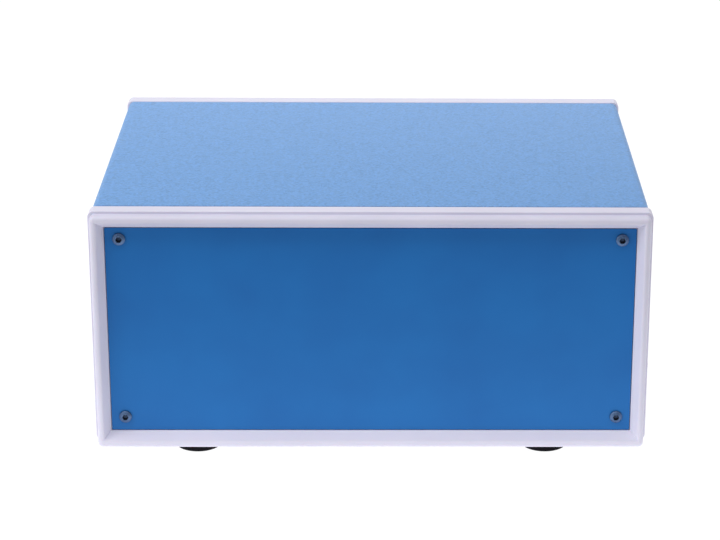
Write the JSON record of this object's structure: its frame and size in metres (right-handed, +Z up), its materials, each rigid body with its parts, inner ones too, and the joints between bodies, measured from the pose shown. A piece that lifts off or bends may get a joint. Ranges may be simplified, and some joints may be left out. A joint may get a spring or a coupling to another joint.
{
  "type": "desktop electronics enclosure",
  "caption": "Desktop case for electronics: folded steel covers between moulded bezels, blank removable panels, round rubber feet.",
  "frame": {"origin": "centre of the footprint, on the table under the feet", "axes": "+X to the right seen from the front, +Y towards the rear, +Z up; the front panel faces -Y"},
  "size_m": [0.2542, 0.19, 0.1195],
  "materials": {
    "cover_paint": "textured powder coat, semi-matt",
    "panel_paint": "smooth baked paint, satin",
    "bezel_plastic": "moulded, fine matt",
    "screw_metal": "dark blue passivated, satin",
    "zinc_steel": "bright zinc plated",
    "foot_rubber": "moulded, matt"
  },
  "bodies": {
    "base": {"bottom_cover": "cover_paint", "front_bezel": "bezel_plastic", "rear_bezel": "bezel_plastic", "cover_screws_left": "zinc_steel", "cover_screws_right": "zinc_steel", "clinch_nuts_left": "zinc_steel", "clinch_nuts_right": "zinc_steel", "front_bezel_screws": "zinc_steel", "rear_bezel_screws": "zinc_steel", "foot_front_left": "foot_rubber", "foot_front_right": "foot_rubber", "foot_rear_left": "foot_rubber", "foot_rear_right": "foot_rubber", "foot_screws": "zinc_steel", "foot_washers": "zinc_steel", "foot_nuts": "zinc_steel"},
    "lid": {"top_cover": "cover_paint"},
    "front_panel_set": {"front_panel": "panel_paint", "front_panel_screws": "screw_metal"},
    "rear_panel_set": {"rear_panel": "panel_paint", "rear_panel_screws": "screw_metal"}
  },
  "joints": [
    {"name": "lid_lift", "type": "slide", "parent": "base", "child": "lid", "axis": [0, 0, 1], "range_m": [0, 0.12]},
    {"name": "front_panel_pull", "type": "slide", "parent": "base", "child": "front_panel_set", "axis": [0, -1, 0], "range_m": [0, 0.04]},
    {"name": "rear_panel_pull", "type": "slide", "parent": "base", "child": "rear_panel_set", "axis": [0, 1, 0], "range_m": [0, 0.04]}
  ]
}
